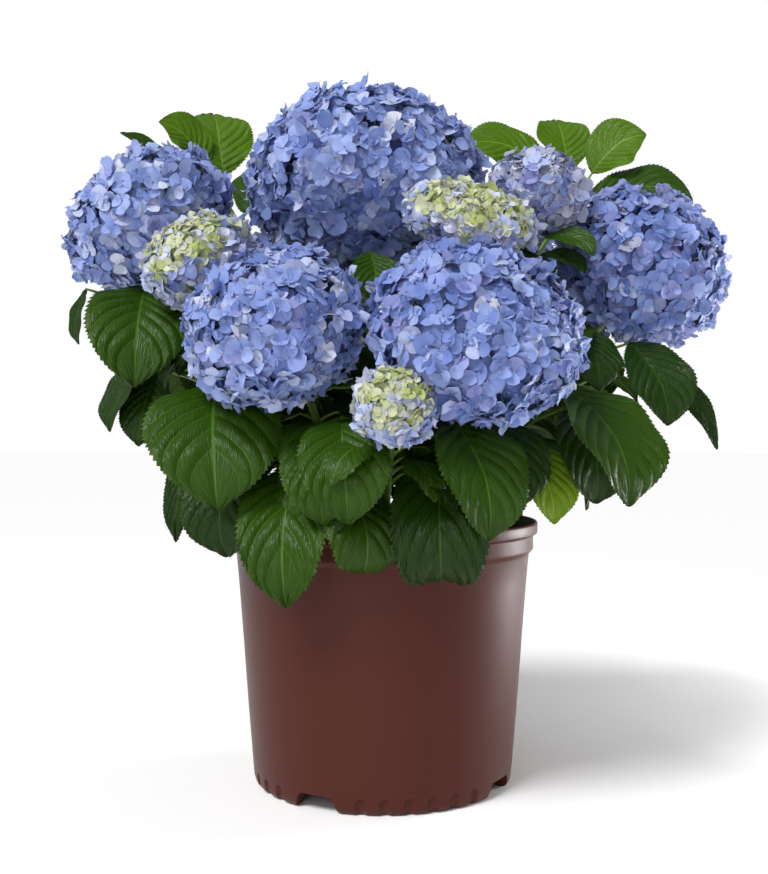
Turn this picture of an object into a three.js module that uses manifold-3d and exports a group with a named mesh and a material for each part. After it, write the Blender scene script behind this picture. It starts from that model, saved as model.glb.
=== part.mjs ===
// A mophead hydrangea in a round nursery pot.
// Millimetres, +Z up, the front of the plant towards -Y. The origin is the middle of the pot's
// flat underside. Every shoot is a bare cane, a leafy stem that goes on from it, and a flower head.

import * as THREE from 'three';
import { mergeVertices } from 'three/addons/utils/BufferGeometryUtils.js';
import Module from 'manifold-3d';

// ---------------------------------------------------------------- driving dimensions

// The pot: a thin tapered tub with a stepped lip and drain notches round its foot.
const POT_HEIGHT = 200;
const LIP_RADIUS = 120;
const LIP_DEPTH = 10;
const BAND_RADIUS = 116.6;
const BAND_DEPTH = 11;
const SHOULDER_RADIUS = 113.2;
const FOOT_RADIUS = 99.2;
const FOOT_ROUND = 6;
const WALL = 2.2;
const FLOOR = 3;
const POT_SIDES = 36;
const PAD_RADIUS = 46;
const CHANNEL_RADIUS = 88;
const CHANNEL_HEIGHT = 13;

const NOTCHES = 4;
const FIRST_NOTCH = -29;
const NOTCH_HEIGHT = 12;
const NOTCH_WIDTH = 34;
const NOTCH_TOP_WIDTH = 26;
const FLUTES_PER_FOOT = 6;
const FLUTE_STEP = 10;
const FLUTE_RADIUS = 2.6;
const FLUTE_DEPTH = 1.4;

// The potting mix fills the pot to here, clear of the wall.
const SOIL_TOP = 180;
const CLEARANCE = 0.3;

// Canes and stems taper from the soil to the flower head and swell a little at the foot.
const CANE_RADIUS = 3.1;
const CANE_RADIUS_PER_HEAD = 0.016;
const STEM_TAPER = 0.4;
const FOOT_FLARE = 0.55;
const FOOT_FLARE_LENGTH = 0.07;
const BARE_BELOW_LEAF = 0.06;
const CANE_SIDES = 7;
const CANE_SUNK = 5;

// Leaves: a stalk and a blade that folds up a little on both sides of its midrib.
const STALK_RADIUS = 1.9;
const STALK_PITCH = 25;
const STALK_PITCH_PER_RISE = 0.6;
const BLADE_THICKNESS = 0.016;
const BLADE_FOLD = 0.12;
const CURL_START = 0.5;
const STALK_STATIONS = [0, 0.05, 0.4, 0.8];
const BLADE_STATIONS = [0.12, 0.32, 0.55, 0.76, 0.92, 1];

// Flower heads: a core, and four-lobed florets that stand out of it.
const NECK_DEPTH = 0.88;
const CORE_SHARE = 0.84;
const UNDERSIDE = 0.92;
const FLORET_SEAT = 0.88;
const FLORET_DISH = 0.12;
const FLORET_BOSS = 0.16;
const FLORET_ROOT = 0.24;
const FLORET_COVER = 1.7;
const LAST_FLORET = 142;
const GOLDEN_TURN = 137.508;

// The gap that every leaf and floret keeps to the other pieces.
const GAP = 0.4;

// The shoots, the main flower heads first.
//   foot    [turn, distance from the middle] of the cane at the soil
//   head    [right, back, up, radius, flatness, lean outward, florets] of the flower head
//   tip     [right, back, up] where a shoot has no head
//   leaves  [share of the shoot, stalk turn, stalk length,
//            blade turn, blade length, width as a share of it, rise, droop, roll, curl of the tip]
//   pairs   [number of further leaf pairs, the turn that they face, the first one's share]
// A turn is a compass bearing in degrees: 0 is the front and 90 the right.
const SHOOTS = {
  crown: {
    foot: [200, 8], head: [-14, 25, 466, 101, 0.81, 5, 28], pairs: [0, 0, 0],
    leaves: [
      [0.58, 0, 55, 8, 75, 0.60, -20, 50, 0, 30],
      [0.88, 0, 70, 10, 50, 0.70, -40, 20, 0, 30],
      [0.60, 165, 46, 175, 90, 0.62, 10, 60, 0, 30],
    ],
  },
  left: {
    foot: [-95, 38], head: [-183, 8, 434, 71, 0.82, 35, 20], pairs: [0, 0, 0],
    leaves: [
      [0.77, -74, 70, 4, 108, 0.70, -20, 50, -12, 30],
      [0.62, -88, 142, -50, 46, 0.50, -60, 30, 0, 30],
      [0.43, -90, 112, -50, 70, 0.62, -42, 20, 0, 30],
      [0.40, -90, 110, -18, 70, 0.60, -48, 20, 0, 30],
      [0.20, -80, 100, -20, 90, 0.28, -50, 30, 0, 30],
      [0.62, -150, 50, -150, 110, 0.66, -14, 52, 0, 30],
    ],
  },
  front_left: {
    foot: [-35, 40], head: [-74, -115, 341, 67, 0.87, 40, 20], pairs: [0, 0, 0],
    leaves: [
      [0.40, -45, 38, -6, 125, 0.50, -25, 50, 0, 45],
      [0.60, 10, 36, -5, 94, 0.60, -15, 55, 0, 55],
    ],
  },
  front_right: {
    foot: [30, 40], head: [62, -134, 337, 78, 0.78, 38, 22], pairs: [0, 0, 0],
    leaves: [
      [0.55, 20, 26, 0, 140, 0.46, -30, 50, 0, 130],
      [0.72, 15, 32, 27, 108, 0.62, -22, 50, 0, 50],
      [0.68, 68, 46, 20, 84, 0.70, -22, 50, 0, 30],
      [0.40, 85, 78, 28, 76, 0.66, -22, 50, 0, 30],
      [0.66, 90, 102, 38, 112, 0.76, -25, 40, 0, 40],
    ],
  },
  right: {
    foot: [85, 40], head: [200, 0, 395, 72, 0.94, 35, 20], pairs: [0, 0, 0],
    leaves: [
      [0.88, 10, 40, 14, 54, 0.75, -45, 30, 0, 30],
      [0.71, 68, 76, 41, 76, 0.70, -34, 40, 25, 30],
      [0.53, 90, 124, 80, 88, 0.35, -42, 20, 35, 20],
      [0.84, 160, 124, 92, 126, 0.46, 20, 24, 0, 25],
      [0.42, 50, 80, 22, 88, 0.70, -30, 55, 0, 45],
      [0.62, 150, 50, 150, 112, 0.66, -14, 52, 0, 30],
    ],
  },
  back_left: {
    foot: [-140, 40], head: [-86, 148, 390, 72, 0.80, 35, 20], pairs: [3, -130, 0.40], leaves: [],
  },
  back_right: {
    foot: [140, 40], head: [100, 138, 394, 76, 0.80, 35, 20], pairs: [3, 130, 0.44], leaves: [],
  },
  upper_right: {
    foot: [85, 22], head: [117, -35, 448, 39, 0.90, 20, 13], pairs: [0, 0, 0],
    leaves: [
      [0.88, 50, 38, 51, 46, 0.45, 4, 40, 40, 30],
      [0.84, 62, 34, 58, 42, 0.40, 0, 35, 40, 30],
    ],
  },
  middle: {
    foot: [20, 15], head: [62, -87, 421, 51, 0.50, 20, 14], pairs: [0, 0, 0],
    leaves: [[0.45, -70, 30, -70, 50, 0.60, 20, 40, 0, 30]],
  },
  left_young: {
    foot: [-60, 25], head: [-134, -60, 394, 45, 0.80, 30, 13], pairs: [0, 0, 0],
    leaves: [
      [0.45, -62, 76, 8, 124, 0.76, -14, 58, 0, 30],
      [0.20, -80, 76, -16, 95, 0.64, -30, 50, 0, 65],
    ],
  },
  low_young: {
    foot: [0, 55], head: [8, -176, 287, 28, 0.95, 50, 12], pairs: [0, 0, 0],
    leaves: [
      [0.88, -112, 40, 8, 88, 0.68, -26, 50, 0, 45],
      [0.46, -90, 28, 20, 98, 0.56, -24, 50, 0, 120],
    ],
  },
  back_young: {
    foot: [180, 50], head: [5, 172, 330, 50, 0.85, 50, 14], pairs: [2, 180, 0.30], leaves: [],
  },
  leafy_left: {
    foot: [-120, 20], tip: [-144, 108, 478], pairs: [0, 0, 0],
    leaves: [
      [0.97, 180, 22, 200, 78, 0.80, 74, 20, 0, 30],
      [0.95, -105, 36, -70, 58, 0.75, 62, 30, -60, 30],
      [0.86, 83, 12, 140, 66, 0.80, 72, 14, 0, 30],
      [0.96, -79, 42, -68, 62, 0.45, 22, -20, -40, 30],
      [0.55, -95, 46, -100, 112, 0.66, -14, 52, 0, 30],
    ],
  },
  leafy_right: {
    foot: [130, 26], tip: [174, 98, 478], pairs: [0, 0, 0],
    leaves: [
      [0.97, -90, 36, -83, 80, 0.60, 34, 30, -60, 30],
      [0.96, -151, 28, -165, 60, 0.85, 76, 20, 0, 30],
      [0.93, 95, 34, 84, 58, 0.90, 52, 20, 60, 30],
      [0.92, 60, 22, 80, 88, 0.62, 8, 14, 50, 30],
      [0.50, 105, 60, 110, 100, 0.66, -24, 52, 0, 30],
    ],
  },
};

// The further pairs: spaced along the stem, each pair spread more or less than the last.
const PAIR_STEP = 0.2;
const PAIR_SPREADS = [50, 28, 40];
const PAIR_LENGTH = 122;
const PAIR_SHRINK = 12;
const PAIR_STALK = 42;
const PAIR_WIDE = 0.66;
const PAIR_RISE = -14;
const PAIR_DROOP = 52;
const PAIR_CURL = 35;

// ---------------------------------------------------------------- colours

const POT_PLASTIC = new THREE.MeshStandardMaterial({ color: 0x573830, roughness: 0.45, metalness: 0 });
const MIX = new THREE.MeshStandardMaterial({ color: 0x2b1f16, roughness: 0.95, metalness: 0 });
const CANE_BARK = new THREE.MeshStandardMaterial({ color: 0x6f6a3c, roughness: 0.7, metalness: 0 });
const LEAF_GREEN = new THREE.MeshStandardMaterial({ color: 0x35551a, roughness: 0.5, metalness: 0 });
const OPEN_BLUE = new THREE.MeshStandardMaterial({ color: 0x7f92d6, roughness: 0.6, metalness: 0 });
const YOUNG_CREAM = new THREE.MeshStandardMaterial({ color: 0xc3cfa6, roughness: 0.6, metalness: 0 });

// ---------------------------------------------------------------- solids and directions

const wasm = await Module();
wasm.setup();

const UP = new THREE.Vector3(0, 0, 1);
const radians = THREE.MathUtils.degToRad;

// A closed geometry as a solid, its points moved one by one by place(x, y, z).
function solidOf(geometry, place) {
  geometry.deleteAttribute('normal');
  geometry.deleteAttribute('uv');
  const merged = mergeVertices(geometry, 1e-4);
  const points = merged.getAttribute('position');
  const vertProperties = new Float32Array(points.count * 3);
  for (let i = 0; i < points.count; i += 1) {
    const moved = place(points.getX(i), points.getY(i), points.getZ(i));
    vertProperties.set([moved.x, moved.y, moved.z], i * 3);
  }
  const triVerts = new Uint32Array(merged.index.array);
  return new wasm.Manifold(new wasm.Mesh({ numProp: 3, vertProperties, triVerts }));
}

function meshOf(solid, name, material) {
  const { vertProperties, triVerts } = solid.getMesh();
  const geometry = new THREE.BufferGeometry();
  geometry.setAttribute('position', new THREE.BufferAttribute(vertProperties, 3));
  geometry.setIndex(new THREE.BufferAttribute(triVerts, 1));
  geometry.computeVertexNormals();
  const mesh = new THREE.Mesh(geometry, material);
  mesh.name = name;
  return mesh;
}

// The level direction of a turn.
function bearing(turn) {
  return new THREE.Vector3(Math.sin(radians(turn)), -Math.cos(radians(turn)), 0);
}

// a * x + b * y + c * z from a starting point.
function along(start, a, x, b, y, c, z) {
  return start.clone().addScaledVector(a, x).addScaledVector(b, y).addScaledVector(c, z);
}

// A round limb along a curve, with its radius given at each share of its length.
function limb(curve, radiusAt, sides, steps) {
  const first = curve.getTangent(0);
  const across = new THREE.Vector3().crossVectors(first, curve.getTangent(1));
  if (across.length() < 1e-3) across.crossVectors(first, new THREE.Vector3(0.3, 1, 0.2));
  across.normalize();
  const placed = (x, y, z) => {
    const share = y + 0.5;
    const forward = curve.getTangent(share);
    const other = new THREE.Vector3().crossVectors(across, forward).normalize();
    const radius = radiusAt(share);
    return along(curve.getPoint(share), across, x * radius, other, z * radius, forward, 0);
  };
  return solidOf(new THREE.CylinderGeometry(1, 1, 1, sides, steps), placed);
}

// A seeded stream of numbers from 0 to 1.
function numbersFrom(seed) {
  let state = seed;
  return () => {
    state = (state * 1664525 + 1013904223) % 4294967296;
    return state / 4294967296;
  };
}

// ---------------------------------------------------------------- the pot and its mix

// A lathed solid about Z: the profile is a list of [radius, height].
function turned(profile, sides) {
  const points = profile.map(([radius, height]) => new THREE.Vector2(radius, height));
  const lathe = new THREE.LatheGeometry(points, sides);
  return solidOf(lathe, (x, y, z) => new THREE.Vector3(x, -z, y));
}

function potSolid() {
  const bandTop = POT_HEIGHT - LIP_DEPTH;
  const bandFoot = bandTop - BAND_DEPTH;
  const shoulder = bandFoot - 4;
  const shell = turned([
    [0, 0],
    [PAD_RADIUS, 0],
    [PAD_RADIUS + 4, CHANNEL_HEIGHT],
    [CHANNEL_RADIUS, CHANNEL_HEIGHT],
    [CHANNEL_RADIUS + 2, 0],
    [FOOT_RADIUS - FOOT_ROUND, 0],
    [FOOT_RADIUS - FOOT_ROUND * 0.3, FOOT_ROUND * 0.3],
    [FOOT_RADIUS + 0.4, FOOT_ROUND],
    [SHOULDER_RADIUS, shoulder],
    [BAND_RADIUS, bandFoot],
    [BAND_RADIUS, bandTop],
    [LIP_RADIUS, bandTop + 1],
    [LIP_RADIUS, POT_HEIGHT],
    [LIP_RADIUS - WALL, POT_HEIGHT],
    [BAND_RADIUS - WALL, bandTop - 1],
    [BAND_RADIUS - WALL, bandFoot],
    [SHOULDER_RADIUS - WALL, shoulder],
    [FOOT_RADIUS - WALL, CHANNEL_HEIGHT + FLOOR],
    [PAD_RADIUS + 3, CHANNEL_HEIGHT + FLOOR],
    [PAD_RADIUS - 1, FLOOR],
    [0, FLOOR],
  ], POT_SIDES);

  const notch = new THREE.Shape([
    new THREE.Vector2(-NOTCH_WIDTH / 2, -1),
    new THREE.Vector2(NOTCH_WIDTH / 2, -1),
    new THREE.Vector2(NOTCH_TOP_WIDTH / 2, NOTCH_HEIGHT),
    new THREE.Vector2(-NOTCH_TOP_WIDTH / 2, NOTCH_HEIGHT),
  ]);
  const notchDepth = 16;
  const quarter = 360 / NOTCHES;
  let pot = shell;
  for (let i = 0; i < NOTCHES; i += 1) {
    const turn = FIRST_NOTCH + quarter * i;
    const out = bearing(turn);
    const side = new THREE.Vector3(-out.y, out.x, 0);
    const block = new THREE.ExtrudeGeometry(notch, { depth: notchDepth, bevelEnabled: false });
    const start = out.clone().multiplyScalar(FOOT_RADIUS + 2 - notchDepth);
    pot = pot.subtract(solidOf(block, (x, y, z) => along(start, side, x, UP, y, out, z)));
    for (let flute = 0; flute < FLUTES_PER_FOOT; flute += 1) {
      const fromMiddle = (flute - (FLUTES_PER_FOOT - 1) / 2) * FLUTE_STEP;
      const fluteOut = bearing(turn + quarter / 2 + fromMiddle);
      const middle = fluteOut.multiplyScalar(FOOT_RADIUS + FLUTE_RADIUS - FLUTE_DEPTH);
      const round = new THREE.CylinderGeometry(FLUTE_RADIUS, FLUTE_RADIUS, NOTCH_HEIGHT + 1, 4);
      const height = NOTCH_HEIGHT / 2 - 0.5;
      pot = pot.subtract(solidOf(round, (x, y, z) => (
        new THREE.Vector3(middle.x + x, middle.y - z, height + y))));
    }
  }
  return pot;
}

// The mix is a plug that stays clear of the floor and the wall.
function mixSolid() {
  const wallSlope = (SHOULDER_RADIUS - FOOT_RADIUS) / (SOIL_TOP - CHANNEL_HEIGHT);
  const clear = WALL + CLEARANCE * 2;
  const foot = FLOOR + CLEARANCE;
  const ledge = CHANNEL_HEIGHT + foot;
  const shoulder = POT_HEIGHT - LIP_DEPTH - BAND_DEPTH - 4;
  return turned([
    [0, foot],
    [PAD_RADIUS - 2, foot],
    [PAD_RADIUS + 2, ledge],
    [FOOT_RADIUS - clear, ledge],
    [SHOULDER_RADIUS - clear - wallSlope, shoulder - 1],
    [SHOULDER_RADIUS - clear, SOIL_TOP],
    [0, SOIL_TOP],
  ], POT_SIDES);
}

// ---------------------------------------------------------------- leaves

// The half width of a blade along its length: broad in the middle, with a short point.
function halfWidth(share) {
  const point = Math.max(0, (share - 0.8) / 0.2);
  return Math.sin(Math.PI * share ** 1.05) ** 0.72 * (1 - 0.35 * point * point);
}

// A midrib that starts at its rise and bends down by its droop, with the directions across it.
// From CURL_START on it bends more tightly, so that its tip curls under.
function midribOf(base, turn, length, rise, droop, roll, curl) {
  const out = bearing(turn);
  const flatSide = new THREE.Vector3(-out.y, out.x, 0);
  const start = radians(rise);
  const bend = radians(droop);
  const tight = bend + radians(curl) / (1 - CURL_START);
  return (share) => {
    const knee = start - bend * Math.min(share, CURL_START);
    const angle = knee - tight * Math.max(share - CURL_START, 0);
    const reach = (Math.sin(start) - Math.sin(knee)) / bend + (Math.sin(knee) - Math.sin(angle)) / tight;
    const climb = (Math.cos(knee) - Math.cos(start)) / bend + (Math.cos(angle) - Math.cos(knee)) / tight;
    const upward = out.clone().multiplyScalar(-Math.sin(angle)).addScaledVector(UP, Math.cos(angle));
    const cosRoll = Math.cos(radians(roll));
    const sinRoll = Math.sin(radians(roll));
    return {
      point: base.clone().addScaledVector(out, length * reach).addScaledVector(UP, length * climb),
      side: flatSide.clone().multiplyScalar(cosRoll).addScaledVector(upward, sinRoll),
      normal: upward.clone().multiplyScalar(cosRoll).addScaledVector(flatSide, -sinRoll),
    };
  };
}

// One leaf, lofted in one go: square sections along its stalk, whose root is sunk in the stem,
// then lens-shaped sections along the blade to its tip.
function leafSolid(root, leaf) {
  const [, stalkTurn, stalk, turn, length, wide, rise, droop, roll, curl] = leaf;
  const pitch = radians(STALK_PITCH + STALK_PITCH_PER_RISE * Math.max(rise, 0));
  const base = root.clone()
    .addScaledVector(bearing(stalkTurn), stalk * Math.cos(pitch))
    .addScaledVector(UP, stalk * Math.sin(pitch));
  const midrib = midribOf(base, turn, length, rise, droop, roll, curl);
  const path = new THREE.CatmullRomCurve3([root, base, midrib(BLADE_STATIONS[0]).point]);
  const rings = STALK_STATIONS.length + BLADE_STATIONS.length - 1;
  return solidOf(new THREE.SphereGeometry(1, 4, rings), (x, y, z) => {
    const ring = Math.round((Math.acos(y) / Math.PI) * rings);
    const size = Math.sqrt(Math.max(1 - y * y, 0));
    const sideways = size < 1e-3 ? 0 : x / size;
    const upward = size < 1e-3 ? 0 : z / size;
    if (ring < STALK_STATIONS.length) {
      const share = STALK_STATIONS[ring];
      const across = new THREE.Vector3().crossVectors(UP, path.getTangent(share)).normalize();
      const above = new THREE.Vector3().crossVectors(path.getTangent(share), across);
      const radius = STALK_RADIUS * (1 - 0.4 * share);
      return along(path.getPoint(share), across, sideways * radius, above, upward * radius, UP, 0);
    }
    const share = BLADE_STATIONS[ring - STALK_STATIONS.length];
    const rib = midrib(share);
    const half = (length * wide * halfWidth(share)) / 2;
    const lift = Math.abs(sideways) * half * BLADE_FOLD + upward * length * BLADE_THICKNESS * 0.5;
    return along(rib.point, rib.side, sideways * half, rib.normal, lift, UP, 0);
  });
}

// The leaves of the further pairs, in the same columns as the table's.
function pairLeaves([count, facing, first], random) {
  const leaves = [];
  for (let pair = 0; pair < count; pair += 1) {
    const spread = PAIR_SPREADS[pair % PAIR_SPREADS.length];
    for (const hand of [-1, 1]) {
      const turn = facing + hand * spread + (random() - 0.5) * 16;
      const length = PAIR_LENGTH - PAIR_SHRINK * pair + (random() - 0.5) * 18;
      leaves.push([
        first + PAIR_STEP * pair, turn, PAIR_STALK, turn - hand * 8, length, PAIR_WIDE,
        PAIR_RISE + (random() - 0.5) * 12, PAIR_DROOP, (random() - 0.5) * 24, PAIR_CURL,
      ]);
    }
  }
  return leaves;
}

// ---------------------------------------------------------------- flower heads

// A head's middle, its axis and two directions across it.
function headFrame([right, back, up, , , lean]) {
  const middle = new THREE.Vector3(right, back, up);
  const turn = THREE.MathUtils.radToDeg(Math.atan2(right, -back));
  const tilt = radians(lean);
  const axis = bearing(turn).multiplyScalar(Math.sin(tilt)).addScaledVector(UP, Math.cos(tilt));
  const u = new THREE.Vector3().crossVectors(axis, new THREE.Vector3(0, 1, 0)).normalize();
  const v = new THREE.Vector3().crossVectors(u, axis);
  return { middle, axis, u, v };
}

function neckOf(head) {
  const { middle, axis } = headFrame(head);
  return middle.clone().addScaledVector(axis, -head[3] * head[4] * NECK_DEPTH);
}

// The point of the head's dome at a share of its radius, from a direction in the head's own axes.
function domePoint(head, frame, x, y, z, share) {
  const [, , , radius, flat] = head;
  const depth = y > 0 ? flat : flat * UNDERSIDE;
  const r = radius * share;
  return along(frame.middle, frame.u, x * r, frame.v, z * r, frame.axis, y * r * depth);
}

// A floret: a shallow dish with a corner for each of its four sepals, on a root that reaches into
// the core.
function floretSolid(seat, out, size, root, spin) {
  const aside = Math.abs(out.z) > 0.9 ? new THREE.Vector3(1, 0, 0) : UP;
  const u = new THREE.Vector3().crossVectors(out, aside).normalize().applyAxisAngle(out, spin);
  const v = new THREE.Vector3().crossVectors(u, out);
  return solidOf(new THREE.OctahedronGeometry(1), (x, y, z) => {
    const lift = y > 0.5 ? size * FLORET_BOSS : 0;
    const sink = y < -0.5 ? root : 0;
    return along(seat, u, x * size, v, z * size, out, lift - sink + (y === 0 ? size * FLORET_DISH : 0));
  });
}

// The core of a head with the stalk under it, from just clear of its stem's neck.
function coreSolid(head, neck, heading) {
  const frame = headFrame(head);
  const ball = new THREE.IcosahedronGeometry(1, 1);
  const core = solidOf(ball, (x, y, z) => domePoint(head, frame, x, y, z, CORE_SHARE));
  const start = neck.clone().addScaledVector(heading, CLEARANCE);
  const bend = start.clone().addScaledVector(heading, 8);
  const stalk = new THREE.QuadraticBezierCurve3(start, bend, frame.middle);
  return core.add(limb(stalk, () => CANE_RADIUS * (1 - STEM_TAPER) + head[3] * 0.012, CANE_SIDES, 2));
}

// The florets of a head, spaced by the golden angle from its top to its underside.
function floretSolids(head) {
  const [, , , radius, flat, , count] = head;
  const frame = headFrame(head);
  const florets = [];
  const size = radius * Math.sqrt(FLORET_COVER / count);
  const lowest = Math.cos(radians(LAST_FLORET));
  for (let i = 0; i < count; i += 1) {
    const y = 1 - ((i + 0.5) / count) * (1 - lowest);
    const ring = Math.sqrt(1 - y * y);
    const turn = radians(GOLDEN_TURN * i);
    const x = ring * Math.cos(turn);
    const z = ring * Math.sin(turn);
    const seat = domePoint(head, frame, x, y, z, FLORET_SEAT);
    const steep = y > 0 ? y / flat : y;
    const out = along(new THREE.Vector3(), frame.u, x, frame.v, z, frame.axis, steep).normalize();
    florets.push(floretSolid(seat, out, size, radius * FLORET_ROOT, turn * 3));
  }
  return florets;
}

// ---------------------------------------------------------------- putting the plant together

const placed = [];

// True where a solid keeps the gap to every piece that is already placed.
function isClearOfAll(solid) {
  const box = solid.boundingBox();
  return placed.every((other) => {
    for (let k = 0; k < 3; k += 1) {
      if (box.min[k] > other.box.max[k] + GAP || other.box.min[k] > box.max[k] + GAP) return true;
    }
    return solid.minGap(other.solid, GAP * 2) >= GAP;
  });
}

function place(name, solid, material) {
  placed.push({ name, solid, material, box: solid.boundingBox() });
}

// Fuses the solids to their own piece one by one, each where it has room.
function grow(name, solids) {
  const own = placed.find((piece) => piece.name === name);
  placed.splice(placed.indexOf(own), 1);
  for (const solid of solids) {
    if (isClearOfAll(solid)) own.solid = own.solid.add(solid);
  }
  place(own.name, own.solid, own.material);
}

// The curve of a whole shoot, from just under the soil to its neck.
function shootCurve(shoot) {
  const foot = bearing(shoot.foot[0]).multiplyScalar(shoot.foot[1]).setZ(SOIL_TOP - CANE_SUNK);
  const top = shoot.head ? neckOf(shoot.head) : new THREE.Vector3(...shoot.tip);
  const bend = new THREE.Vector3(
    foot.x * 0.62 + top.x * 0.38,
    foot.y * 0.62 + top.y * 0.38,
    foot.z * 0.4 + top.z * 0.6,
  );
  return new THREE.QuadraticBezierCurve3(foot, bend, top);
}

// The stretch of a curve between two shares, as a curve.
function stretch(curve, from, to) {
  const points = [];
  for (let i = 0; i <= 4; i += 1) points.push(curve.getPoint(from + ((to - from) * i) / 4));
  return new THREE.CatmullRomCurve3(points);
}

// The stem's radius at a share of the whole shoot.
function stemRadius(shoot, share) {
  const foot = CANE_RADIUS + (shoot.head ? shoot.head[3] * CANE_RADIUS_PER_HEAD : 0);
  const flare = foot * FOOT_FLARE * Math.exp(-share / FOOT_FLARE_LENGTH);
  return foot * (1 - STEM_TAPER * share) + flare;
}

const shoots = Object.entries(SHOOTS).map(([name, shoot], index) => {
  const leaves = [...shoot.leaves, ...pairLeaves(shoot.pairs, numbersFrom(101 + index * 37))];
  const fork = Math.min(...leaves.map((leaf) => leaf[0])) - BARE_BELOW_LEAF;
  return { name, shoot, leaves, fork, curve: shootCurve(shoot) };
});

place('pot', potSolid(), POT_PLASTIC);
place('potting_mix', mixSolid(), MIX);

// Each cane is cut off level, just clear of the mix.
const soilDepth = 40;
const soil = solidOf(new THREE.BoxGeometry(LIP_RADIUS * 2, LIP_RADIUS * 2, soilDepth), (x, y, z) => (
  new THREE.Vector3(x, y, z + SOIL_TOP + CLEARANCE - soilDepth / 2)));
for (const { name, shoot, fork, curve } of shoots) {
  const radiusAt = (share) => stemRadius(shoot, share * fork);
  const cane = limb(stretch(curve, 0, fork), radiusAt, CANE_SIDES, 4);
  place(`${name}_cane`, cane.subtract(soil), CANE_BARK);
}

for (const { name, shoot, curve } of shoots) {
  if (!shoot.head) continue;
  const core = coreSolid(shoot.head, curve.getPoint(1), curve.getTangent(1));
  place(`${name}_bloom`, core, shoot.head[3] > 60 ? OPEN_BLUE : YOUNG_CREAM);
}
for (const { name, shoot, fork, curve } of shoots) {
  const start = fork + (CLEARANCE * 1.5) / curve.getLength();
  const radiusAt = (share) => stemRadius(shoot, start + share * (1 - start));
  const stem = limb(stretch(curve, start, 1), radiusAt, CANE_SIDES, 5);
  place(`${name}_leaves`, stem, LEAF_GREEN);
}

for (const { name, shoot } of shoots) {
  if (shoot.head) grow(`${name}_bloom`, floretSolids(shoot.head));
}
for (const { name, leaves, curve } of shoots) {
  grow(`${name}_leaves`, leaves.map((leaf) => leafSolid(curve.getPoint(leaf[0]), leaf)));
}

const hydrangea = new THREE.Group();
for (const piece of placed) hydrangea.add(meshOf(piece.solid, piece.name, piece.material));

export default hydrangea;
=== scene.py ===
import math

import bmesh
import bpy
import numpy as np
from mathutils import Matrix, Vector, noise


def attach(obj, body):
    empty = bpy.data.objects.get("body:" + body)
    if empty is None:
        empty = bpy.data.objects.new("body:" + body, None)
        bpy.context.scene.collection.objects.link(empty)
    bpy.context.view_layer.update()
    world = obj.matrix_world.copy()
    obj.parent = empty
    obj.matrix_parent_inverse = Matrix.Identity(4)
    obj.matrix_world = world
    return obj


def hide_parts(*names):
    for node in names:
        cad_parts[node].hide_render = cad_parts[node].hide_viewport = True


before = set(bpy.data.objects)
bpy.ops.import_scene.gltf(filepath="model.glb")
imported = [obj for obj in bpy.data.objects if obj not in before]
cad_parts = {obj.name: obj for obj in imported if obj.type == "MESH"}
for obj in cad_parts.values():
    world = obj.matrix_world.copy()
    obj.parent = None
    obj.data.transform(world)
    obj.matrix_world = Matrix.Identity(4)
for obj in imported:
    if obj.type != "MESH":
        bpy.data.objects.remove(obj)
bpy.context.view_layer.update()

# ---------------------------------------------------------------- nursery pot
# One tapered tub of dark brown polypropylene, injection moulded with a satin skin. It has a
# stepped lip, a smooth wall, six short round flutes on each of its four feet, and a drain
# notch between each two feet. The middle of its floor stands on the ground.

POT_PROFILE = [
    (0, 0), (20, 0), (44, 0), (46, 0.6), (47, 2.4), (50, 12), (52, 13), (70, 13), (87, 13),
    (89, 12), (90.2, 2), (91.4, 0.4), (93, 0), (95.4, 0.3), (97.4, 1.3), (98.8, 3), (99.5, 5.4),
    (99.7, 7.4), (99.9, 9), (100, 10), (100.1, 11), (100.2, 11.8), (100.3, 12.6), (100.5, 15),
    (104.2, 60), (107.9, 110), (111.4, 155), (113.2, 174.6), (113.6, 175.6), (114.4, 176.6),
    (115.8, 178), (116.4, 179), (116.6, 180), (116.6, 188.6), (116.8, 189.6), (117.5, 190.2),
    (118.9, 190.6), (119.7, 191.2), (120, 192.2), (120, 198.2), (119.7, 199.2), (118.9, 199.9),
    (118.2, 199.6), (117.6, 198.6), (117.2, 194), (114.6, 189), (114.2, 180), (111, 174),
    (107, 120), (102, 60), (97.8, 16), (88, 16), (49, 16), (45.4, 3.4), (20, 3), (0, 3),
]
POT_STEPS, SHARP_EDGE, FOOT_RING, FOOT_RADIUS = 540, 38, 92.9, 99.8
FLUTES_PER_FOOT, FLUTE_STEP, FLUTE_HALF_WIDTH, FLUTE_TOP, FLUTE_DEPTH = 6, 10, 3.8, 12.2, 2.0
NOTCHES, FIRST_NOTCH, NOTCH_TOP_WIDTH, NOTCH_FOOT_WIDTH, NOTCH_ROUNDING = 4, -29, 27, 38, 3.2
NOTCH_TOP, NOTCH_FOOT, NOTCH_MIDDLE, NOTCH_REACH = 12, -2, 99, 24
FOOT_TURN = 360 / NOTCHES
MM = 0.001


def linear(colour):
    """The linear values of a colour written as a hex number."""
    parts = [int(colour[i:i + 2], 16) / 255 for i in (1, 3, 5)]
    return [c / 12.92 if c <= 0.04045 else ((c + 0.055) / 1.055) ** 2.4 for c in parts] + [1.0]


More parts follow.
